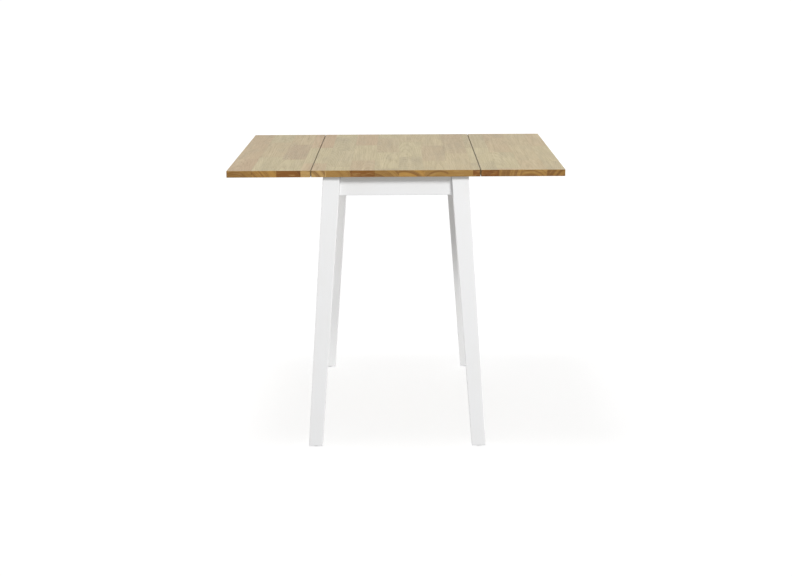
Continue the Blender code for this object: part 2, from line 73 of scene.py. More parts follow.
class Value:
    """A number passing through a material, ready for plain arithmetic."""

    def __init__(self, finish, socket):
        self.finish = finish
        self.socket = socket

    def __add__(self, other):
        return self.finish.maths("ADD", self, other)

    def __sub__(self, other):
        return self.finish.maths("SUBTRACT", self, other)

    def __rsub__(self, other):
        return self.finish.maths("SUBTRACT", other, self)

    def __mul__(self, other):
        return self.finish.maths("MULTIPLY", self, other)

    def __truediv__(self, other):
        return self.finish.maths("DIVIDE", self, other)

    def __abs__(self):
        return self.finish.maths("ABSOLUTE", self)

    __radd__ = __add__
    __rmul__ = __mul__

    def whole(self):
        """The whole number below."""
        return self.finish.maths("FLOOR", self)

    def remainder(self):
        """What is left above the whole number."""
        return self.finish.maths("FRACT", self)

    def root(self):
        """The square root."""
        return self.finish.maths("SQRT", self)

    def ramp_up(self, low, high):
        """0 up to low, 1 from high, straight between."""
        return self.finish.add("MapRange", {"clamp": True}, self, low, high)

    def parts(self):
        """The three numbers of a vector."""
        split = self.finish.add("SeparateXYZ", {}, self)
        return [Value(self.finish, socket) for socket in split.socket.node.outputs]


class Finish:
    """A material being mixed: its shader's constants, and the nodes that vary over a surface."""

    def __init__(self, name, **constants):
        self.material = bpy.data.materials.new(name)
        self.material.use_nodes = True
        self.tree = self.material.node_tree
        self.shader = self.tree.nodes["Principled BSDF"]
        for socket, value in constants.items():
            self.shader.inputs[socket.replace("_", " ")].default_value = value

    def add(self, kind, settings, *values, output=0, **named):
        """Put in a node: settings first, then its sockets' values or links; hand back one output."""
        node = self.tree.nodes.new("ShaderNode" + kind)
        for name, setting in settings.items():
            if name == "stops":
                self.set_stops(node.color_ramp, setting)
            else:
                setattr(node, name, setting)
        for key, value in [*enumerate(values), *named.items()]:
            self.plug(node.inputs[key], value)
        return Value(self, node.outputs[output])

    def set_stops(self, ramp, stops):
        """Give a stepped ramp its stops, each a place and a colour."""
        ramp.interpolation = "CONSTANT"
        while len(ramp.elements) < len(stops):
            ramp.elements.new(1.0)
        for element, (place, colour) in zip(ramp.elements, stops):
            element.position = place
            element.color = (*colour, 1.0)

    def plug(self, socket, value):
        """Link a value to a socket, or set the socket to a constant."""
        if isinstance(value, Value):
            self.tree.links.new(value.socket, socket)
        else:
            socket.default_value = (*value, 1.0) if socket.type == "RGBA" else value

    def maths(self, operation, *values):
        """One Math node."""
        return self.add("Math", {"operation": operation}, *values)

    def place(self, output="Object"):
        """Where the surface is, in the table's own frame."""
        return self.add("TexCoord", {}, output=output)

    def vector(self, x, y, z):
        """Three numbers as a vector."""
        return self.add("CombineXYZ", {}, x, y, z)

    def noise(self, place, scale, detail=2.0, rough=0.5, stretch=(1, 1, 1)):
        """Smooth noise from 0 to 1, with features 1 / (scale * stretch) metres long."""
        spread = self.add("VectorMath", {"operation": "MULTIPLY"}, place, stretch)
        return self.add("TexNoise", {}, Vector=spread, Scale=scale, Detail=detail, Roughness=rough)

    def chance(self, *numbers):
        """Three steady random numbers for a cell."""
        cell = self.vector(*numbers, *[0.0] * (3 - len(numbers)))
        return self.add("TexWhiteNoise", {"noise_dimensions": "3D"}, Vector=cell, output="Color").parts()

    def tint(self, first, second, share):
        """One colour turning into another."""
        node = self.tree.nodes.new("ShaderNodeMix")
        node.data_type = "RGBA"
        for socket, value in ((0, share), (6, first), (7, second)):
            self.plug(node.inputs[socket], value)
        return Value(self, node.outputs[2])

    def surface(self, **values):
        """Hand what varies to the shader."""
        for socket, value in values.items():
            self.plug(self.shader.inputs[socket.replace("_", " ")], value)

    def relief(self, height, depth, strength=1.0):
        """Raise the surface by up to depth metres where height is 1."""
        bump = self.add("Bump", {}, Strength=strength, Distance=depth, Height=height)
        self.surface(Normal=bump)

    def coat(self, *names):
        """Give CAD nodes this finish."""
        for name in names:
            slots = nodes[name].data.materials
            slots.clear()
            slots.append(self.material)


PANEL_LOW, PANEL_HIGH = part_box("left_leaf")[0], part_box("right_leaf")[1]
PANEL_MIDDLE = (PANEL_LOW.z + PANEL_HIGH.z) / 2
STAVE_WIDTH = 0.0655
STAVE_LENGTH = 0.31
STAVE_SHIFT = 9.0           # lengths by which neighbouring rows of staves may be shifted
RING = 0.0034
LOG_SPREAD = 0.12           # how far a stave's own log may lie to one side
LOG_DEPTH = 0.014           # the least depth of the log's heart below the panel
LOG_DEPTH_SPREAD = 0.05
LOG_TILT = 0.05
RING_WANDER = 0.012
RING_WOBBLE = 0.0016
ARRIS_INNER = 0.0012        # from the middle of an open joint
ARRIS_OUTER = 0.0024
OAK_RELIEF = 0.00022
FACE_STRAW = (0.440, 0.368, 0.198)
FACE_ROSE = (0.410, 0.284, 0.153)
FACE_GREY = (0.295, 0.238, 0.138)
FACE_PALE = (0.58, 0.485, 0.285)
FIBRE_DARK = (0.205, 0.140, 0.068)
PORE_DARK = (0.105, 0.062, 0.026)
RAY_PALE = (0.56, 0.47, 0.30)
HONEY = (0.42, 0.225, 0.048)
STRAW = (0.49, 0.305, 0.102)
TAN = (0.35, 0.192, 0.045)
BROWN = (0.295, 0.155, 0.032)
RUSSET = (0.21, 0.079, 0.008)
END_RING = (0.11, 0.034, 0.004)
# painted shade: the near-black laid on the arrises beside each open joint, standing for the shade in the
# gap
JOINT_SHADE_PAINT = (0.055, 0.033, 0.012)
SAWN_AT = joints["right_leaf_hinge"]["pos_m"][0]
FRONT_ENDS = (BROWN, HONEY, RUSSET, STRAW, TAN, RUSSET, TAN,
              HONEY, TAN, TAN, RUSSET, TAN, TAN, BROWN)


def oiled_oak():
    """Staved oak: each stave's own tone and rings, open pores, rays, glue lines and darker ends."""
    oak = Finish("oiled_oak", Specular_IOR_Level=0.32)
    here = oak.place()
    x, y, z = here.parts()

    across = (x - PANEL_LOW.x) / STAVE_WIDTH
    stave = across.whole()
    along = y / STAVE_LENGTH + oak.chance(stave)[0] * STAVE_SHIFT
    length = along.whole()
    tone, lean, slide = oak.chance(stave, length)

    # each stave is cut from its own log; where the log's axis tilts, the rings run out in arches
    off_centre = (across.remainder() - 0.5) * STAVE_WIDTH + (lean - 0.5) * LOG_SPREAD
    tilt = (along.remainder() - 0.5) * (slide - 0.35) * LOG_TILT
    off_middle = z - PANEL_MIDDLE + LOG_DEPTH + slide * LOG_DEPTH_SPREAD + tilt
    own = oak.add("VectorMath", {"operation": "ADD"}, here, oak.vector(tone * 3, lean * 3, slide * 3))
    wander = oak.noise(own, 11.0, 2.0, stretch=(1, 0.16, 1))
    wobble = oak.noise(own, 60, 2.0, stretch=(1, 0.12, 1))
    distance = (off_centre * off_centre + off_middle * off_middle).root()
    radius = distance + wander * RING_WANDER + wobble * RING_WOBBLE
    ring = (radius / RING).remainder()
    early = 1 - ring.ramp_up(0.02, 0.42) + ring.ramp_up(0.93, 1.0)

    fibre = oak.noise(own, 300, 4.0, 0.62, stretch=(1, 0.028, 1))
    streak = oak.noise(own, 62, 3.0, 0.6, stretch=(1, 0.035, 1))
    band = oak.noise(own, 30, 3.0, 0.55, stretch=(1, 0.22, 1))
    pore = oak.noise(own, 1250, 1.0, 0.5, stretch=(1, 0.045, 1)).ramp_up(0.56, 0.68)
    pore = pore * (early * 0.75 + 0.12)
    ray = oak.noise(own, 240, 3.0, 0.6, stretch=(0.4, 1, 3)).ramp_up(0.60, 0.78)
    ray = ray * lean.ramp_up(0.45, 0.8)

    glue_x = abs(across.remainder() - 0.5).ramp_up(0.4962, 0.4990)
    glue_y = abs(along.remainder() - 0.5).ramp_up(0.4989, 0.4998)
    glue = oak.maths("MAXIMUM", glue_x, glue_y)

    sideways, facing, _ = oak.place("Normal").parts()
    stave_end = abs(facing).ramp_up(0.75, 0.95)

    face = oak.tint(FACE_STRAW, FACE_ROSE, tone.ramp_up(0.25, 0.9))
    face = oak.tint(face, FACE_GREY, slide.ramp_up(0.55, 0.95) * 0.40 + band.ramp_up(0.48, 0.72) * 0.45)
    face = oak.tint(face, FACE_PALE, streak.ramp_up(0.5, 0.75) * 0.50)
    face = oak.tint(face, FIBRE_DARK, fibre.ramp_up(0.45, 0.8) * 0.42 + early * 0.16)
    face = oak.tint(face, RAY_PALE, ray * 0.4)

    count = len(FRONT_ENDS)
    from_front = across + facing.ramp_up(-0.1, 0.1) * (count - 2 * across)
    end = oak.add("ValToRGB", {"stops": [(index / count, tint) for index, tint in enumerate(FRONT_ENDS)]},
                  from_front / count)
    zone = oak.noise(oak.vector(radius, tone, lean), 105, 2.0, 0.6, stretch=(1, 0.3, 0.3))
    slanted = oak.vector(off_centre + off_middle * (3 * slide - 1.5), tone * 5, off_middle * 2)
    end_streak = oak.noise(slanted, 75, 3.0, 0.6, stretch=(0.5, 1, 1.3))
    end = oak.tint(end, STRAW, end_streak.ramp_up(0.52, 0.68) * 0.45)
    end = oak.tint(end, END_RING, zone.ramp_up(0.44, 0.62) * 0.55 + early * 0.24)

    colour = oak.tint(face, end, stave_end)
    colour = oak.tint(colour, PORE_DARK, pore * 0.5)
    colour = oak.tint(colour, PORE_DARK, glue * 0.35)
    # Painted shade: a near-black band on the arrises beside each open joint stands for the shade inside the
    # gap.
    painted_joint_shade = 1 - abs(abs(x) - SAWN_AT).ramp_up(ARRIS_INNER, ARRIS_OUTER)
    colour = oak.tint(colour, JOINT_SHADE_PAINT, painted_joint_shade * (1 - abs(sideways).ramp_up(0.80, 0.95)) * 0.7)
    sheen = 0.40 + fibre * 0.10 + pore * 0.2 + stave_end * 0.16
    oak.surface(Base_Color=colour, Roughness=sheen)
    height = 0.55 * fibre - 0.8 * pore - 0.25 * early - 0.9 * glue
    oak.relief(height, OAK_RELIEF, 0.5)
    return oak


oiled_oak().coat("centre_top", "left_leaf", "right_leaf")


# ------------------------------------------------------------------------------ painted frame
# Four square, tapered legs and four aprons of solid rubberwood, sprayed with a white satin
# lacquer.  The grain just telegraphs through, and the feet pick up faint scuffs.

PAINT = (0.84, 0.842, 0.845)
PAINT_WARM = (0.80, 0.79, 0.765)
SCUFF = (0.55, 0.53, 0.50)
SCUFF_LOW = 0.004
SCUFF_TOP = 0.11
PAINT_RELIEF = 0.00010


def white_lacquer(name, along):
    """Satin white over wood whose grain runs along x, y or z."""
    paint = Finish(name, Coat_Weight=0.12, Coat_Roughness=0.25)
    here = paint.place()
    stretch = [1.0, 1.0, 1.0]
    stretch["xyz".index(along)] = 0.035
    grain = paint.noise(here, 330, 3.0, 0.6, stretch=tuple(stretch))
    peel = paint.noise(here, 900, 1.0)
    cloud = paint.noise(here, 9, 2.0)
    up = here.parts()[2]
    low = 1 - up.ramp_up(SCUFF_LOW, SCUFF_TOP)
    rub = paint.noise(here, 120, 4.0, 0.7, stretch=(1, 1, 0.25)).ramp_up(0.60, 0.74) * low * low
    warm = cloud.ramp_up(0.45, 0.75) * 0.30 + grain.ramp_up(0.5, 0.8) * 0.12
    colour = paint.tint(PAINT, PAINT_WARM, warm)
    colour = paint.tint(colour, SCUFF, rub * 0.35)
    paint.surface(Base_Color=colour, Roughness=0.36 + 0.08 * cloud + 0.2 * rub)
    paint.relief(grain * 0.8 + peel * 0.35, PAINT_RELIEF, 0.35)
    return paint


LEGS = [f"{end}_{side}_leg" for end in ("front", "rear") for side in ("left", "right")]
white_lacquer("lacquer_legs", "z").coat(*LEGS)
white_lacquer("lacquer_end_aprons", "x").coat("front_apron", "rear_apron")
white_lacquer("lacquer_side_aprons", "y").coat("left_apron", "right_apron")


# ------------------------------------------------------------------------------ corner blocks
# Four blocks of raw birch, mitred to fit across the inside corners.  They are left unpainted:
# pale, straight-grained wood with saw marks and cut ends.  Each is drawn tight by one bolt.

BIRCH_PALE = (0.66, 0.53, 0.36)
BIRCH_WARM = (0.54, 0.39, 0.23)
BIRCH_FLECK = (0.36, 0.24, 0.13)
BLOCK_ARRIS = 0.0008
MERGE_WITHIN = 0.00001
SAW_MARKS = 2600            # radians of saw mark for each metre
BIRCH_RELIEF = 0.00025


def raw_birch():
    """Unfinished birch whose grain runs across each corner."""
    birch = Finish("raw_birch", Specular_IOR_Level=0.3)
    x, y, z = birch.place().parts()
    corner = birch.chance(x.ramp_up(-0.01, 0.01), y.ramp_up(-0.01, 0.01))[0]
    length = (abs(x) - abs(y)) * sin(pi / 4)
    depth = (abs(x) + abs(y)) * sin(pi / 4)
    here = birch.vector(length, depth, z + corner * 5)
    fibre = birch.noise(here, 420, 4.0, 0.6, stretch=(0.04, 1, 1))
    cloud = birch.noise(here, 55, 3.0, 0.5, stretch=(0.15, 1, 1))
    fleck = birch.noise(here, 900, 1.0, 0.5, stretch=(0.06, 1, 1)).ramp_up(0.66, 0.74)
    saw = birch.maths("SINE", length * SAW_MARKS + cloud * 5)
    warm = cloud.ramp_up(0.35, 0.7) * 0.6 + fibre.ramp_up(0.5, 0.8) * 0.4
    colour = birch.tint(BIRCH_PALE, BIRCH_WARM, warm)
    colour = birch.tint(colour, BIRCH_FLECK, fleck * 0.6)
    birch.surface(Base_Color=colour, Roughness=0.62 + fibre * 0.16)
    birch.relief(fibre * 0.7 + saw * 0.12 - fleck * 0.4, BIRCH_RELIEF, 0.5)
    return birch


def eased(width, *names):
    """Weld CAD nodes' corners together and ease their sharp edges."""
    for name in names:
        weld = nodes[name].modifiers.new("weld", "WELD")
        weld.merge_threshold = MERGE_WITHIN
        bevel = nodes[name].modifiers.new("arris", "BEVEL")
        bevel.width = width
        bevel.segments = 2
        bevel.limit_method = "ANGLE"
        bevel.angle_limit = radians(40)


CORNERS = [(end, side) for end in ("front", "rear") for side in ("left", "right")]
BLOCKS = [f"{end}_{side}_corner_block" for end, side in CORNERS]
raw_birch().coat(*BLOCKS)
eased(BLOCK_ARRIS, *BLOCKS)


# ------------------------------------------------------------------------------ bolts and nuts
# Each corner has a zinc-plated hanger bolt: a coarse wood thread driven into the leg, and a
# machine thread through the block.  A nut with a domed flange pulls the leg in.

ZINC_BRIGHT = (0.66, 0.675, 0.69)
ZINC_BLUE = (0.50, 0.53, 0.575)
ZINC_DULL = (0.36, 0.37, 0.38)
ZINC_RELIEF = 0.00004
SMOOTH_BELOW = radians(33)
EASED_ABOVE = radians(50)


def zinc_plate():
    """Blue-bright zinc: slightly cloudy, with fine rolling marks."""
    zinc = Finish("zinc_plate", Metallic=1.0)
    here = zinc.place()
    cloud = zinc.noise(here, 85, 3.0, 0.6)
    rolled = zinc.noise(here, 1100, 2.0, 0.6, stretch=(1, 0.07, 1))
    speck = zinc.noise(here, 700, 1.0).ramp_up(0.68, 0.76)
    colour = zinc.tint(ZINC_BRIGHT, ZINC_BLUE, cloud.ramp_up(0.35, 0.7))
    colour = zinc.tint(colour, ZINC_DULL, rolled.ramp_up(0.5, 0.8) * 0.35 + speck * 0.4)
    zinc.surface(Base_Color=colour, Roughness=0.24 + 0.16 * cloud + 0.08 * rolled)
    zinc.relief(rolled - speck * 0.5, ZINC_RELIEF, 0.35)
    return zinc


ZINC = zinc_plate()


def spun(name, outline, sides=48, bend=None):
    """A turned mesh about Z from (radius, height) pairs; bend may change a radius round the turn."""
    shape = bmesh.new()
    rings = []
    for radius, height in outline:
        ring = [shape.verts.new((0, 0, height))] * sides
        if radius:
            ring = []
            for step in range(sides):
                far = bend(radius, height, step / sides) if bend else radius
                turn = step * 2 * pi / sides
                ring.append(shape.verts.new((far * cos(turn), far * sin(turn), height)))
        rings.append(ring)
    if outline[0][0]:
        rings.append(rings[0])
    for upper, lower in zip(rings, rings[1:]):
        for step in range(sides):
            corners = dict.fromkeys((upper[step - 1], upper[step], lower[step], lower[step - 1]))
            if len(corners) > 2:
                shape.faces.new(list(corners))
    return finished(name, shape)


def finished(name, shape):
    """A bmesh as a closed mesh, facing out, smooth but for its real edges."""
    bmesh.ops.recalc_face_normals(shape, faces=shape.faces)
    mesh = bpy.data.meshes.new(name)
    shape.to_mesh(mesh)
    shape.free()
    mesh.shade_smooth()
    mesh.set_sharp_from_angle(angle=SMOOTH_BELOW)
    return mesh


def carved(mesh, cut=(), join=(), edge=0.0):
    """Join shapes to a mesh, cut others out of it and ease its edges."""
    block = bpy.data.objects.new(mesh.name, mesh)
    bpy.context.scene.collection.objects.link(block)
    used = [block]
    for operation, shapes in (("UNION", join), ("DIFFERENCE", cut)):
        for other in shapes:
            tool = bpy.data.objects.new("tool", other)
            bpy.context.scene.collection.objects.link(tool)
            used.append(tool)
            step = block.modifiers.new("step", "BOOLEAN")
            step.operation = operation
            step.object = tool
    if edge:
        bevel = block.modifiers.new("edge", "BEVEL")
        bevel.width = edge
        bevel.segments = 2
        bevel.limit_method = "ANGLE"
        bevel.angle_limit = EASED_ABOVE
    result = bpy.data.meshes.new_from_object(block.evaluated_get(bpy.context.evaluated_depsgraph_get()))
    for spent in used:
        bpy.data.objects.remove(spent)
    result.shade_smooth()
    result.set_sharp_from_angle(angle=SMOOTH_BELOW)
    return result


def moved(mesh, matrix):
    """A copy of a mesh, moved."""
    copy = mesh.copy()
    copy.transform(matrix)
    return copy


def fit(name, mesh, material, matrix, body, slot, *stands_for):
    """Put a piece in its place: it rides on a body, and may stand for CAD nodes."""
    if not mesh.materials:
        mesh.materials.append(material)
    piece = bpy.data.objects.new(name, mesh)
    bpy.context.scene.collection.objects.link(piece)
    piece.matrix_world = matrix
    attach(piece, body)
    if stands_for:
        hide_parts(*stands_for)
    return piece


ROOT_FLAT = 1.25            # a thread reaches its root a little early, so the root is flat


def threaded(pitch, share):
    """How a V thread cuts into a bar: share is the part of the radius that the thread takes."""
    def bend(radius, height, turn):
        off_crest = abs((height / pitch - turn) % 1.0 - 0.5) * 2
        return radius * (1 - share * min(1.0, ROOT_FLAT * off_crest))
    return bend


def stations(start, stop, step):
    """Evenly spaced heights from start to stop, both included."""
    count = max(1, round(abs(stop - start) / step))
    return [start + (stop - start) * index / count for index in range(count + 1)]


BOLT_RADIUS = 0.0030
BOLT_END_ARRIS = 0.0007
BOLT_WAIST = 0.0026
BOLT_SIDES = 20
MACHINE_PITCH = 0.0010
MACHINE_DEPTH = 0.16        # of the radius
MACHINE_TIP = 0.8           # of the radius
WOOD_PITCH = 0.0025
WOOD_DEPTH = 0.28
WOOD_TIP = 0.2
THREAD_STEP = 0.2           # of a pitch, between one ring of points and the next
NUT_SIDES = 96
NUT_FLANGE_RADIUS = 0.0075
NUT_FLANGE_EDGE = 0.0010
NUT_FLANGE_ARRIS = 0.0003
NUT_FLANGE_RIM = 0.0004
NUT_DOME_RADIUS = 0.0060
NUT_DOME_TOP = 0.0018
NUT_BODY_FROM = 0.0019
NUT_SEAT_RADIUS = 0.0045
NUT_FLATS = 0.0050
NUT_CORNER = 0.0056
NUT_STACK = 0.0065
NUT_CROWN = 0.0009          # height of the turned corners
NUT_CROWN_IN = 0.0008
NUT_THREAD_BITE = 0.0002
NUT_MOUTH = 0.0007
NUT_RING_STEP = 0.0008
BOLT_TAIL = 0.004
BOLT_IN_LEG = 0.038
PLAIN_LENGTH = 0.006
POINT_LENGTH = 0.008


def hanger_bolt(tail, reach):
    """Machine thread from -tail, a plain waist at the joint, then a pointed wood thread."""
    outline = [(0, -tail)]
    for height in stations(-tail, -PLAIN_LENGTH, MACHINE_PITCH * THREAD_STEP):
        full = min(1.0, MACHINE_TIP + (height + tail) / MACHINE_PITCH * (1 - MACHINE_TIP))
        outline.append((BOLT_RADIUS * full, height))
    waist = PLAIN_LENGTH - MACHINE_PITCH / 2
    outline += [(BOLT_WAIST, -waist), (BOLT_WAIST, waist)]
    for height in stations(PLAIN_LENGTH, reach, WOOD_PITCH * THREAD_STEP / 2):
        full = min(1.0, WOOD_TIP + (reach - height) / POINT_LENGTH * (1 - WOOD_TIP))
        outline.append((BOLT_RADIUS * full, height))
    outline += [(0, reach)]
    machine = threaded(MACHINE_PITCH, MACHINE_DEPTH)
    wood = threaded(WOOD_PITCH, WOOD_DEPTH)

    def bend(radius, height, turn):
        if abs(height) < PLAIN_LENGTH:
            return radius
        return machine(radius, height, turn) if height < 0 else wood(radius, height, turn)
    return spun("hanger_bolt", outline, BOLT_SIDES, bend)


def flange_nut():
    """A hexagon with turned corners on a domed flange; the flange's face is at 0."""
    bore = BOLT_RADIUS - NUT_THREAD_BITE
    shoulder = NUT_STACK - NUT_CROWN
    flange = [(bore, 0.0), (NUT_SEAT_RADIUS, 0.0), (NUT_FLANGE_RADIUS - NUT_FLANGE_ARRIS, 0.0),
              (NUT_FLANGE_RADIUS, NUT_FLANGE_RIM), (NUT_FLANGE_RADIUS, NUT_FLANGE_EDGE),
              (NUT_DOME_RADIUS, NUT_DOME_TOP)]
    body = [(NUT_CORNER, height) for height in stations(NUT_BODY_FROM, shoulder, NUT_RING_STEP)]
    crown = [(NUT_CORNER - NUT_CROWN_IN * share, shoulder + NUT_CROWN * share)
             for share in (0.35, 0.7, 1.0)]
    mouth = [(bore + NUT_CROWN_IN, NUT_STACK), (bore, NUT_STACK - NUT_MOUTH)]

    def bend(radius, height, turn):
        if not NUT_SEAT_RADIUS < radius <= NUT_CORNER:
            return radius
        lean = ((turn * 6) % 1.0 - 0.5) * pi / 3
        return min(radius, NUT_FLATS / cos(lean))
    return spun("flange_nut", flange + body + crown + mouth, NUT_SIDES, bend)


bolt_low, bolt_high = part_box("front_right_hanger_bolt")
bolt_length = (bolt_high.x - bolt_low.x) / cos(pi / 4) - 2 * (BOLT_RADIUS - BOLT_END_ARRIS)
BOLT_MESH = hanger_bolt(bolt_length - BOLT_IN_LEG, BOLT_IN_LEG)
NUT_MESH = flange_nut()
for end, side in CORNERS:
    low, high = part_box(f"{end}_{side}_hanger_bolt")
    middle = (low + high) / 2
    outward = Vector((-1 if side == "left" else 1, -1 if end == "front" else 1, 0)).normalized()
    seat = middle + outward * (bolt_length / 2 - BOLT_IN_LEG)
    aim = outward.to_track_quat("Z", "Y").to_matrix().to_4x4()
    fit(f"{end}_{side}_bolt", BOLT_MESH, ZINC.material, Matrix.Translation(seat) @ aim,
        "frame", "zinc_steel", f"{end}_{side}_hanger_bolt")
    face = seat - outward * (bolt_length - BOLT_IN_LEG - BOLT_TAIL - NUT_STACK)
    fit(f"{end}_{side}_nut", NUT_MESH, ZINC.material,
        Matrix.Translation(face) @ aim @ Matrix.Rotation(pi, 4, "X"), "frame", "zinc_steel",
        f"{end}_{side}_flange_nut")


# ------------------------------------------------------------------------------ glides
# A moulded white nylon glide is nailed under each foot, so that the table slides on a floor.
# Its rim is rounded, and its face has picked up grey rubs.

GLIDE_RADIUS = 0.0120
GLIDE_HEIGHT = 0.0030
GLIDE_RIM = 0.0010
NAIL_RADIUS = 0.0012
NAIL_POINT = 0.002
NYLON_RELIEF = 0.00006
NYLON_WHITE = (0.78, 0.78, 0.76)
NYLON_RUBBED = (0.52, 0.52, 0.50)


def nylon(name, clean, rubbed):
    """Moulded nylon: a soft sheen, faint flow marks and rubs."""
    made = Finish(name, Specular_IOR_Level=0.45, Subsurface_Weight=0.05, Subsurface_Scale=0.001)
    here = made.place()
    rub = made.noise(here, 420, 4.0, 0.7, stretch=(1, 0.3, 1)).ramp_up(0.55, 0.75)
    flow = made.noise(here, 130, 2.0)
    made.surface(Base_Color=made.tint(clean, rubbed, rub * 0.5 + flow.ramp_up(0.5, 0.8) * 0.2),
                 Roughness=0.38 + 0.12 * flow + 0.2 * rub)
    made.relief(flow - rub * 0.6, NYLON_RELIEF, 0.4)
    return made


def arc(middle_radius, middle_height, reach, start, stop, steps=6):
    """Points round a quarter or less of a circle, as (radius, height) pairs."""
    turns = [start + (stop - start) * step / steps for step in range(steps + 1)]
    return [(middle_radius + reach * cos(turn), middle_height + reach * sin(turn)) for turn in turns]


nail_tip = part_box("front_left_glide")[1].z
glide_outline = [(0, nail_tip), (NAIL_RADIUS, nail_tip - NAIL_POINT), (NAIL_RADIUS, GLIDE_HEIGHT)]
glide_outline += arc(GLIDE_RADIUS - GLIDE_RIM, GLIDE_HEIGHT - GLIDE_RIM, GLIDE_RIM, pi / 2, 0)
glide_outline += arc(GLIDE_RADIUS - GLIDE_RIM, GLIDE_RIM, GLIDE_RIM, 0, -pi / 2)
glide_outline += [(0, 0)]
GLIDE_MESH = spun("glide", glide_outline, 64)
WHITE_NYLON = nylon("white_nylon", NYLON_WHITE, NYLON_RUBBED)
for end, side in CORNERS:
    low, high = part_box(f"{end}_{side}_glide")
    middle = (low + high) / 2
    fit(f"{end}_{side}_foot_glide", GLIDE_MESH, WHITE_NYLON.material,
        Matrix.Translation((middle.x, middle.y, low.z)), "frame", "white_nylon", f"{end}_{side}_glide")


# ------------------------------------------------------------------------------ top clips
# Four clips of bent, zinc-plated strip hold the centre top down.  Each has its tongue in an
# apron's groove and one pan-head screw up into the oak, in a slot that lets the wood move.

PAN_RADIUS = 0.0040
PAN_HEIGHT = 0.0022
PAN_RIM = 0.0009            # radius of the head's rim
PAN_RIM_UP = 0.0011          # height of the rim's middle above the head's face
PAN_CROWN = 0.0003
SHANK_RADIUS = 0.0018
SCREW_PITCH = 0.0016
SCREW_THREAD = 0.33         # of the radius
SCREW_LENGTH = 0.012
SCREW_POINT = 0.35          # of the length
SCREW_TIP = 0.1             # of the radius
SCREW_SIDES = 28
RECESS_DEPTH = 0.0013
RECESS_REACH = 0.0022
RECESS_HALF_WIDTH = 0.0004
RECESS_TAPER = 0.55
OVERCUT = 0.001             # how far a cutting shape stands clear of what it cuts
BEND_RADIUS = 0.0022
BEND_STEPS = 5
STRIP_CORNER = 0.0020


def box_shape(low, high, taper=1.0, corner=0.0):
    """A box between two corners; taper narrows its top, corner rounds its upright edges."""
    shape = bmesh.new()
    bmesh.ops.create_cube(shape, size=1.0)
    for vertex in shape.verts:
        spot = [high[axis] if vertex.co[axis] > 0 else low[axis] for axis in range(3)]
        if vertex.co.z > 0:
            spot = [spot[0] * taper, spot[1] * taper, spot[2]]
        vertex.co = spot
    if corner:
        upright = [edge for edge in shape.edges
                   if (edge.verts[0].co.xy - edge.verts[1].co.xy).length < corner / 10]
        bmesh.ops.bevel(shape, geom=upright, offset=corner, segments=6, profile=0.5, affect="EDGES")
    return finished("box", shape)


def wood_screw(name, head):
    """A cross-recessed wood screw: the face that it clamps with is at 0 and its point up at +Z."""
    neck = head[-1][1] + SCREW_PITCH
    outline = list(head)
    for height in stations(neck, SCREW_LENGTH, SCREW_PITCH * THREAD_STEP):
        along_point = (SCREW_LENGTH - height) / (SCREW_LENGTH * SCREW_POINT)
        full = min(1.0, SCREW_TIP + along_point * (1 - SCREW_TIP))
        outline.append((SHANK_RADIUS * full, height))
    outline.append((0, SCREW_LENGTH + SCREW_PITCH / 8))
    thread = threaded(SCREW_PITCH, SCREW_THREAD)

    def bend(radius, height, turn):
        return thread(radius, height, turn) if height > neck else radius
    body = spun(name, outline, SCREW_SIDES, bend)
    foot = min(height for _, height in outline)
    wings = [box_shape((-RECESS_REACH, -RECESS_HALF_WIDTH, foot - OVERCUT),
                       (RECESS_REACH, RECESS_HALF_WIDTH, foot + RECESS_DEPTH), RECESS_TAPER)]
    wings.append(moved(wings[0], Matrix.Rotation(pi / 2, 4, "Z")))
    return carved(body, cut=wings)


pan_head = [(0, -PAN_HEIGHT)]
pan_head += [(PAN_RADIUS * share, -PAN_HEIGHT + PAN_CROWN * share * share) for share in (0.25, 0.5, 0.7)]
pan_head += arc(PAN_RADIUS - PAN_RIM, PAN_RIM_UP - PAN_HEIGHT, PAN_RIM, -pi / 2.4, 0)
pan_head += [(PAN_RADIUS, 0), (SHANK_RADIUS, 0)]
PAN_SCREW = wood_screw("pan_head_screw", pan_head)


def strip(name, path, width, steel, corner):
    """Steel strip bent along a path of (reach, height) pairs, with rounded ends."""
    shape = bmesh.new()
    rows = [[shape.verts.new((reach, half, height)) for reach, height in path]
            for half in (-width / 2, width / 2)]
    for near, far, near_next, far_next in zip(rows[0], rows[1], rows[0][1:], rows[1][1:]):
        shape.faces.new((near, near_next, far_next, far))
    ends = [row[index] for row in rows for index in (0, -1)]
    bmesh.ops.bevel(shape, geom=ends, offset=corner, segments=5, profile=0.5, affect="VERTICES")
    sheet = finished(name, shape)
    block = bpy.data.objects.new(name, sheet)
    bpy.context.scene.collection.objects.link(block)
    thicken = block.modifiers.new("steel", "SOLIDIFY")
    thicken.thickness = steel
    thicken.offset = 0
    thicken.use_even_offset = True
    result = bpy.data.meshes.new_from_object(block.evaluated_get(bpy.context.evaluated_depsgraph_get()))
    bpy.data.objects.remove(block)
    return result


def fold(corner, before, after):
    """A bend of BEND_RADIUS where two square directions meet, given as unit (reach, height) pairs."""
    points = []
    for step in range(BEND_STEPS + 1):
        turn = step * pi / (2 * BEND_STEPS)
        share = (BEND_RADIUS * (1 - sin(turn)), BEND_RADIUS * (1 - cos(turn)))
        points.append((corner[0] - before[0] * share[0] + after[0] * share[1],
                       corner[1] - before[1] * share[0] + after[1] * share[1]))
    return points


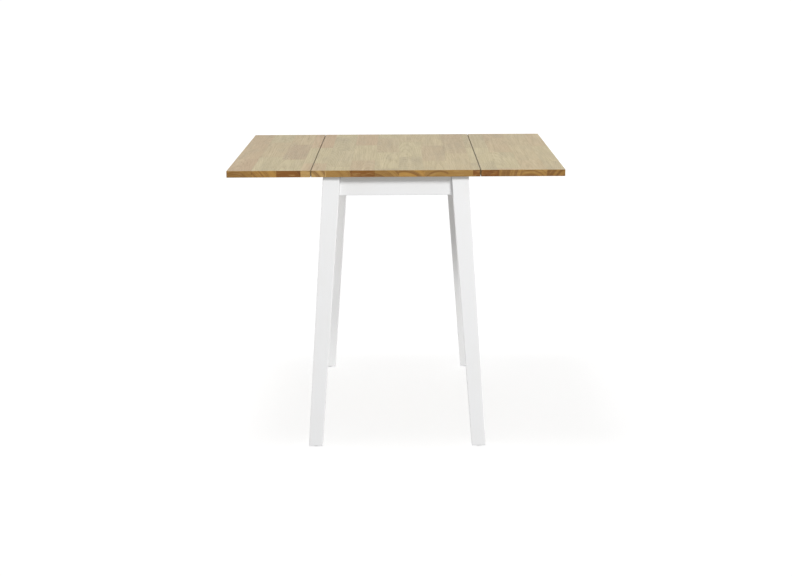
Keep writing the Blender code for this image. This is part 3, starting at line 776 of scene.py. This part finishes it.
CLIP_STEEL = 0.0016
CLIP_STANDOFF = 0.0015
CLIP_SCREW_AT = 0.015
CLIP_EDGE = 0.00015
SLOT_HALF_WIDTH = 0.0022
SLOT_HALF_LENGTH = 0.0050
clip_low, clip_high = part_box("left_top_clip")
clip_width = clip_high.y - clip_low.y
apron_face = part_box("left_apron")[1].x
tongue = clip_low.x - apron_face
flange = clip_high.x - apron_face
groove_z = clip_low.z + CLIP_STEEL / 2
flange_z = clip_high.z - CLIP_STEEL / 2
clip_path = [(tongue, groove_z)]
clip_path += fold((CLIP_STANDOFF, groove_z), (1, 0), (0, 1))
clip_path += fold((CLIP_STANDOFF, flange_z), (0, 1), (1, 0))
clip_path += [(CLIP_SCREW_AT, flange_z), (flange, flange_z)]
slot_tool = box_shape((CLIP_SCREW_AT - SLOT_HALF_WIDTH, -SLOT_HALF_LENGTH, flange_z - CLIP_STEEL),
                      (CLIP_SCREW_AT + SLOT_HALF_WIDTH, SLOT_HALF_LENGTH, flange_z + CLIP_STEEL),
                      corner=SLOT_HALF_WIDTH * 0.98)
CLIP_MESH = carved(strip("clip", clip_path, clip_width, CLIP_STEEL, STRIP_CORNER), cut=[slot_tool],
                   edge=CLIP_EDGE)

for place, turn in (("left", 0), ("right", pi), ("front", pi / 2), ("rear", -pi / 2)):
    low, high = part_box(f"{place}_apron")
    inner = {"left": (high.x, 0), "right": (low.x, 0), "front": (0, high.y), "rear": (0, low.y)}[place]
    aim = Matrix.Translation((*inner, 0)) @ Matrix.Rotation(turn, 4, "Z")
    fit(f"{place}_clip", CLIP_MESH, ZINC.material, aim, "frame", "zinc_steel", f"{place}_top_clip")
    seat = Matrix.Translation((CLIP_SCREW_AT, 0, clip_high.z - CLIP_STEEL))
    fit(f"{place}_clip_pan_screw", PAN_SCREW, ZINC.material, aim @ seat, "frame", "zinc_steel",
        f"{place}_clip_screw")


# ------------------------------------------------------------------------------ leaf hinges
# Two butt hinges under each joint, of zinc-plated steel: two plates with rolled knuckles on a
# pin.  Each plate is held up into the oak by two countersunk screws, flush with its face.

HINGE_STEEL = 0.0016
HINGE_EDGE = 0.0002
KNUCKLE_RADIUS = 0.0032
PIN_RADIUS = 0.0015
PIN_ARRIS = 0.0004
TURNING_ROOM = 0.0001       # on the radius, round a pin or a rivet
HINGE_SCREW_OUT = 0.019
HINGE_SCREW_APART = 0.018
COUNTERSUNK_RADIUS = 0.0040
COUNTERSUNK_DEPTH = 0.0022
COUNTERSUNK_ARRIS = 0.0002
COUNTERSUNK_RIM = 0.0003
HEAD_SUNK = 0.00005         # from the plate's face
SCREW_HOLE_RADIUS = 0.0021
CUT_THROUGH = 0.004
PLATE_CORNER = 0.0040
PLATE_START = 0.0012        # from the pin's axis
BORE_PAST = 1.1             # the bore's cutting bar runs past the barrel by this share
KNUCKLES = 5
KNUCKLE_GAP = 0.0003

sunk_head = [(0, HEAD_SUNK), (COUNTERSUNK_RADIUS - COUNTERSUNK_ARRIS, HEAD_SUNK),
             (COUNTERSUNK_RADIUS - COUNTERSUNK_ARRIS / 2, COUNTERSUNK_RIM),
             (SHANK_RADIUS, COUNTERSUNK_DEPTH)]
SUNK_SCREW = wood_screw("countersunk_screw", sunk_head)
countersink = spun("countersink", [(0, -OVERCUT), (COUNTERSUNK_RADIUS, -OVERCUT), (COUNTERSUNK_RADIUS, 0.0),
                                   (SCREW_HOLE_RADIUS, COUNTERSUNK_DEPTH - COUNTERSUNK_RIM),
                                   (SCREW_HOLE_RADIUS, CUT_THROUGH), (0, CUT_THROUGH)])

hinge_low, hinge_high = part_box("front_right_hinge_leaf_plate")
HINGE_LENGTH = hinge_high.y - hinge_low.y
hinge_reach = hinge_high.x - joints["right_leaf_hinge"]["pos_m"][0]
hinge_top = KNUCKLE_RADIUS - KNUCKLE_GAP / 2


def hinge_plate(name, own):
    """A plate out along +X from the pin, with the knuckles numbered in own."""
    half = HINGE_LENGTH / 2
    under = hinge_top - HINGE_STEEL
    flat = box_shape((PLATE_START, -half, under), (hinge_reach, half, hinge_top), corner=PLATE_CORNER)
    square = box_shape((0, -half, under), (hinge_reach / 2, half, hinge_top))
    barrel = spun("barrel", [(0, -half), (KNUCKLE_RADIUS, -half), (KNUCKLE_RADIUS, half), (0, half)], 64)
    barrel.transform(Matrix.Rotation(pi / 2, 4, "X"))
    bore_radius = PIN_RADIUS + TURNING_ROOM
    past = BORE_PAST * half
    bore = spun("bore", [(0, -past), (bore_radius, -past), (bore_radius, past), (0, past)], 32)
    bore.transform(Matrix.Rotation(pi / 2, 4, "X"))
    room = KNUCKLE_RADIUS + KNUCKLE_GAP
    step = HINGE_LENGTH / KNUCKLES
    gaps = [box_shape((-room, -half + index * step - KNUCKLE_GAP / 2, -room),
                      (room, -half + (index + 1) * step + KNUCKLE_GAP / 2, room))
            for index in range(KNUCKLES) if index not in own]
    sinks = [moved(countersink, Matrix.Translation((HINGE_SCREW_OUT, apart, under)))
             for apart in (-HINGE_SCREW_APART, HINGE_SCREW_APART)]
    return carved(flat, join=[square, barrel], cut=[bore, *gaps, *sinks], edge=HINGE_EDGE)


FIXED_PLATE = hinge_plate("fixed_plate", (0, 2, 4))
SWINGING_PLATE = hinge_plate("swinging_plate", (1, 3))
half_pin = HINGE_LENGTH / 2
pin_outline = [(0, half_pin), *arc(PIN_RADIUS - PIN_ARRIS, half_pin - PIN_ARRIS, PIN_ARRIS, pi / 2, 0),
               *arc(PIN_RADIUS - PIN_ARRIS, PIN_ARRIS - half_pin, PIN_ARRIS, 0, -pi / 2), (0, -half_pin)]
PIN_MESH = spun("pin", pin_outline, 32)

for end, side in CORNERS:
    sign = -1 if side == "left" else 1
    low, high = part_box(f"{end}_{side}_hinge_pin")
    pin_at = Matrix.Translation((low + high) / 2)
    outward = pin_at @ Matrix.Rotation(0 if sign > 0 else pi, 4, "Z")
    inward = pin_at @ Matrix.Rotation(pi if sign > 0 else 0, 4, "Z")
    fit(f"{end}_{side}_pin", PIN_MESH, ZINC.material, pin_at @ Matrix.Rotation(pi / 2, 4, "X"), "frame",
        "zinc_steel", f"{end}_{side}_hinge_pin")
    for kind, mesh, aim, body in (("fixed", FIXED_PLATE, inward, "frame"),
                                  ("leaf", SWINGING_PLATE, outward, f"{side}_leaf")):
        fit(f"{end}_{side}_{kind}_plate", mesh, ZINC.material, aim, body, "zinc_steel",
            f"{end}_{side}_hinge_{kind}_plate")
        for number, apart in enumerate((-HINGE_SCREW_APART, HINGE_SCREW_APART)):
            spot = Matrix.Translation((HINGE_SCREW_OUT, apart, hinge_top - HINGE_STEEL))
            twist = Matrix.Rotation(0.5 + 1.3 * number + 0.7 * sign, 4, "Z")
            fit(f"{end}_{side}_{kind}_plate_screw_{number + 1}", SUNK_SCREW, ZINC.material,
                aim @ spot @ twist, body, "zinc_steel")


# ------------------------------------------------------------------------------ leaf stays
# A folding stay holds each leaf up: a steel bracket on the side apron, a flat strut riveted
# between its ears, and a black nylon nose that bears on a steel catch plate under the leaf.

STAY_STEEL = 0.0016
BRACKET_CORNER = 0.0050
BRACKET_SCREW_APART = 0.022
BRACKET_HOLE_RADIUS = 0.0022
BRACKET_EDGE = 0.00025
EAR_RADIUS = 0.0075
EAR_GAP = 0.015
EAR_ROOT = 0.0003           # left on the plate between the ears
WEB_INSIDE = 0.0001
RIVET_RADIUS = 0.0025
RIVET_HEAD_RADIUS = 0.0042
RIVET_HEAD = 0.0015
RIVET_PROUD = 0.0003
LONG_CUT = 0.05             # longer than anything that it bores through
STRUT_WIDTH = 0.014
STRUT_STEEL = 0.005
STRUT_EYE = 0.006
STRUT_EDGE = 0.0004
EYE_INSET = 0.0001          # each side of the eye, so that it lies inside the bar
NOSE_RADIUS = 0.0055
NOSE_WIDTH = 0.018
NOSE_EDGE = 0.0008
STRUT_IN_NOSE = 0.0003      # room round the strut's end in the nose's pocket
CATCH_SCREW_INSET = 0.006
RIDGE_RADIUS = 0.0030
RIDGE_LENGTH = 0.020
RIDGE_FROM_END = 0.028
RIDGE_SUNK = 0.0005
RIDGE_EDGE = 0.0008
CATCH_EDGE = 0.0002
NYLON_BLACK = (0.022, 0.022, 0.023)
NYLON_SCUFFED = (0.085, 0.085, 0.085)
BLACK_NYLON = nylon("black_nylon", NYLON_BLACK, NYLON_SCUFFED)
upright = Matrix.Rotation(pi / 2, 4, "X")


def rod(name, radius, length, sides=64, edge=0.0):
    """A round bar along Y, its ends eased by an edge radius."""
    half = length / 2
    cap = [(radius, half)]
    if edge:
        cap = arc(radius - edge, half - edge, edge, pi / 2, 0, 3)
    outline = [(0, half), *cap, *[(far, -height) for far, height in reversed(cap)], (0, -half)]
    return moved(spun(name, outline, sides), upright)


for side, sign in (("left", -1), ("right", 1)):
    pivot = Vector(joints[f"{side}_strut_pivot"]["pos_m"])
    out = Matrix.Rotation(0 if sign > 0 else pi, 4, "Z")
    low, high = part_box(f"{side}_stay_bracket")
    back = -(high.x - pivot.x if sign < 0 else pivot.x - low.x)
    foot, head = low.z - pivot.z, high.z - pivot.z
    long_half = (high.y - low.y) / 2

    flat = box_shape((foot, -long_half, -STAY_STEEL), (head, long_half, 0), corner=BRACKET_CORNER)
    flat.transform(Matrix.Rotation(-pi / 2, 4, "Y"))
    flat.transform(Matrix.Translation((back, 0, 0)))
    ear_half = EAR_GAP / 2 + STAY_STEEL
    web_half = EAR_RADIUS - WEB_INSIDE
    web = box_shape((back + STAY_STEEL / 2, -ear_half, -web_half), (0, ear_half, web_half))
    ears = rod("ears", EAR_RADIUS, 2 * ear_half)
    gap = box_shape((back + STAY_STEEL + EAR_ROOT, -EAR_GAP / 2, -2 * EAR_RADIUS),
                    (2 * EAR_RADIUS, EAR_GAP / 2, 2 * EAR_RADIUS))
    holes = []
    screw_z = (foot + head) / 2
    for apart in (-BRACKET_SCREW_APART, BRACKET_SCREW_APART):
        hole = moved(rod("hole", BRACKET_HOLE_RADIUS, LONG_CUT, 32), Matrix.Rotation(pi / 2, 4, "Z"))
        holes.append(moved(hole, Matrix.Translation((back, apart, screw_z))))
    rivet_bore = rod("bore", RIVET_RADIUS + TURNING_ROOM, LONG_CUT, 48)
    bracket = carved(flat, join=[web, ears], cut=[gap, rivet_bore, *holes], edge=BRACKET_EDGE)
    fit(f"{side}_bracket", bracket, ZINC.material, Matrix.Translation(pivot) @ out, "frame", "zinc_steel",
        f"{side}_stay_bracket")
    for number, apart in enumerate((-BRACKET_SCREW_APART, BRACKET_SCREW_APART)):
        spot = Matrix.Translation((back + STAY_STEEL, apart, screw_z)) @ Matrix.Rotation(-pi / 2, 4, "Y")
        twist = Matrix.Rotation(0.4 + number, 4, "Z")
        fit(f"{side}_bracket_screw_{number + 1}", PAN_SCREW, ZINC.material,
            Matrix.Translation(pivot) @ out @ spot @ twist, "frame", "zinc_steel")

    rivet_end = ear_half + RIVET_PROUD
    cap = [(0, rivet_end + RIVET_HEAD)]
    cap += arc(RIVET_HEAD_RADIUS - RIVET_HEAD, rivet_end, RIVET_HEAD, pi / 2, 0, 8)
    cap += [(RIVET_RADIUS, rivet_end)]
    rivet = spun("rivet", cap + [(radius, -height) for radius, height in reversed(cap)], 48)
    fit(f"{side}_rivet", rivet, ZINC.material, Matrix.Translation(pivot) @ upright, "frame", "zinc_steel",
        f"{side}_stay_rivet")

    low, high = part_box(f"{side}_stay_nose")
    tip = (low + high) / 2
    reach = tip - pivot
    length = reach.length
    rise = Matrix.Rotation(-asin(reach.z / length), 4, "Y")
    bar = box_shape((0, -STRUT_WIDTH / 2, -STRUT_STEEL / 2), (length, STRUT_WIDTH / 2, STRUT_STEEL / 2))
    eye = rod("eye", STRUT_EYE, STRUT_WIDTH - 2 * EYE_INSET)
    strut = carved(bar, join=[eye], cut=[rivet_bore], edge=STRUT_EDGE)
    aim = Matrix.Translation(pivot) @ out @ rise
    fit(f"{side}_strut_bar", strut, ZINC.material, aim, f"{side}_strut", "zinc_steel", f"{side}_stay_strut")
    pocket_half = (STRUT_WIDTH / 2 + STRUT_IN_NOSE, STRUT_STEEL / 2 + STRUT_IN_NOSE)
    pocket = box_shape((-2 * NOSE_RADIUS, -pocket_half[0], -pocket_half[1]), (STRUT_IN_NOSE, *pocket_half))
    nose = carved(rod("nose", NOSE_RADIUS, NOSE_WIDTH, 64, NOSE_EDGE), cut=[pocket], edge=CATCH_EDGE)
    fit(f"{side}_strut_nose", nose, BLACK_NYLON.material, aim @ Matrix.Translation((length, 0, 0)),
        f"{side}_strut", "black_nylon", f"{side}_stay_nose")

    low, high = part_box(f"{side}_catch_plate")
    near, far = sorted((abs(low.x), abs(high.x)))
    wide = (high.y - low.y) / 2
    plate = box_shape((near, -wide, high.z - STAY_STEEL), (far, wide, high.z), corner=PLATE_CORNER)
    ridge_x = near + RIDGE_FROM_END
    ridge = rod("ridge", RIDGE_RADIUS, RIDGE_LENGTH, 48, RIDGE_EDGE)
    ridge.transform(Matrix.Translation((ridge_x, 0, high.z - STAY_STEEL + RIDGE_SUNK)))
    above = box_shape((near, -wide * 2, high.z - STAY_STEEL / 2), (far, wide * 2, high.z + 10 * OVERCUT))
    ridge = carved(ridge, cut=[above])
    holes = (near + CATCH_SCREW_INSET, far - CATCH_SCREW_INSET)
    sinks = [moved(countersink, Matrix.Translation((x, 0, high.z - STAY_STEEL))) for x in holes]
    plate = carved(plate, join=[ridge], cut=sinks, edge=CATCH_EDGE)
    fit(f"{side}_catch", plate, ZINC.material, out, f"{side}_leaf", "zinc_steel", f"{side}_catch_plate")
    for number, x in enumerate(holes):
        spot = Matrix.Translation((x, 0, high.z - STAY_STEEL))
        twist = Matrix.Rotation(0.3 + 0.9 * number, 4, "Z")
        fit(f"{side}_catch_screw_{number + 1}", SUNK_SCREW, ZINC.material, out @ spot @ twist,
            f"{side}_leaf", "zinc_steel")


# ------------------------------------------------------------------------------ studio
# A white floor that runs out of sight, an even white surround and seven softboxes.  The key
# comes from high on the right, with others at the sides, the rear and overhead.  One low light
# reaches only the far leg, and one only the floor.

FLOOR_REACH = 30.0
FLOOR_BELOW = 0.0002        # just under the glides
POOL_RADIUS = 1.6           # the floor takes shading up to here
PLAIN_RADIUS = 5.0          # and is plain white from here
FLOOR_GREY = (0.60, 0.60, 0.60)
FLOOR_GLOW = (0.68, 0.68, 0.68)
FLOOR_FAR_GLOW = (1.02, 1.02, 1.02)
SURROUND_SEEN = 1.05
SURROUND_LIGHT = 0.45
AIM_SHARE = 0.8             # of the table's height
LENS = 61.56                # millimetres, on a sensor 36 mm wide

floor_mesh = bpy.data.meshes.new("floor")
sheet = bmesh.new()
bmesh.ops.create_grid(sheet, x_segments=1, y_segments=1, size=FLOOR_REACH)
sheet.to_mesh(floor_mesh)
sheet.free()
floor = bpy.data.objects.new("floor", floor_mesh)
bpy.context.scene.collection.objects.link(floor)
floor.location.z = cad_box[0].z - FLOOR_BELOW
white = Finish("floor_white", Roughness=0.6, Specular_IOR_Level=0.1, Emission_Strength=1.0)
east, north, _ = white.place().parts()
away = (east * east + north * north).root().ramp_up(POOL_RADIUS, PLAIN_RADIUS)
white.surface(Base_Color=white.tint(FLOOR_GREY, (0.0, 0.0, 0.0), away),
              Emission_Color=white.tint(FLOOR_GLOW, FLOOR_FAR_GLOW, away))
see_through = white.add("BsdfTransparent", {})
below = white.add("NewGeometry", {}, output="Backfacing")
two_sided = white.add("MixShader", {}, below, Value(white, white.shader.outputs[0]), see_through)
white.plug(white.tree.nodes["Material Output"].inputs["Surface"], two_sided)
floor_mesh.materials.append(white.material)
floor.visible_diffuse = False

world = bpy.data.worlds.new("white_surround")
bpy.context.scene.world = world
world.use_nodes = True
backdrop = world.node_tree.nodes["Background"]
backdrop.inputs["Color"].default_value = (1.0, 1.0, 1.0, 1.0)
ray = world.node_tree.nodes.new("ShaderNodeLightPath")
level = world.node_tree.nodes.new("ShaderNodeMapRange")
level.inputs["To Min"].default_value = SURROUND_SEEN
level.inputs["To Max"].default_value = SURROUND_LIGHT
world.node_tree.links.new(ray.outputs["Is Diffuse Ray"], level.inputs["Value"])
world.node_tree.links.new(level.outputs["Result"], backdrop.inputs["Strength"])

all_but_floor = bpy.data.collections.new("all_but_floor")
all_but_floor.objects.link(floor)
all_but_floor.collection_objects[0].light_linking.link_state = "EXCLUDE"
floor_only = bpy.data.collections.new("floor_only")
floor_only.objects.link(floor)
far_leg_only = bpy.data.collections.new("far_leg_only")
far_leg_only.objects.link(nodes["rear_left_leg"])


def softbox(name, bearing, height, distance, size, power, shines_on):
    """A square area light on a stand, aimed just below the table's top; bearing 0 is the front."""
    data = bpy.data.lights.new(name, "AREA")
    data.shape = "SQUARE"
    data.size = size
    data.energy = power
    lamp = bpy.data.objects.new(name, data)
    bpy.context.scene.collection.objects.link(lamp)
    aim = Vector((0, 0, cad_box[1].z * AIM_SHARE))
    reach = distance * cos(height)
    lamp.location = aim + Vector((reach * sin(bearing), -reach * cos(bearing), distance * sin(height)))
    lamp.rotation_euler = (aim - lamp.location).to_track_quat("-Z", "Y").to_euler()
    lamp.light_linking.receiver_collection = shines_on


softbox("key_softbox", radians(32), radians(38.5), 8.0, 1.9, 476, all_but_floor)
softbox("side_softbox", radians(84), radians(7), 8.0, 1.9, 118, all_but_floor)
softbox("left_softbox", radians(-84), radians(6), 8.0, 1.9, 110, all_but_floor)
softbox("rear_softbox", radians(212), radians(4), 8.0, 1.9, 240, all_but_floor)
softbox("overhead_softbox", 0.0, radians(86), 2.4, 1.6, 6.6, all_but_floor)
softbox("far_leg_fill", radians(20), radians(4), 5.0, 1.2, 105, far_leg_only)
softbox("floor_softbox", radians(-60), radians(80), 4.0, 1.0, 30, floor_only)

camera_data = bpy.data.cameras.new("camera")
camera_data.sensor_width = 36.0
camera_data.lens = LENS
camera_data.clip_end = 200.0
camera = bpy.data.objects.new("camera", camera_data)
bpy.context.scene.collection.objects.link(camera)
EYE = Vector((0.0164, -3.9383, 1.3186))
TILT_DOWN = 0.2395
TURN_LEFT = 0.0049
ROLL = -0.0058
tilt = Matrix.Rotation(pi / 2 - TILT_DOWN, 4, "X")
camera.matrix_world = (Matrix.Translation(EYE) @ Matrix.Rotation(TURN_LEFT, 4, "Z") @ tilt
                       @ Matrix.Rotation(ROLL, 4, "Z"))
bpy.context.scene.camera = camera
bpy.context.scene.view_settings.view_transform = "Standard"
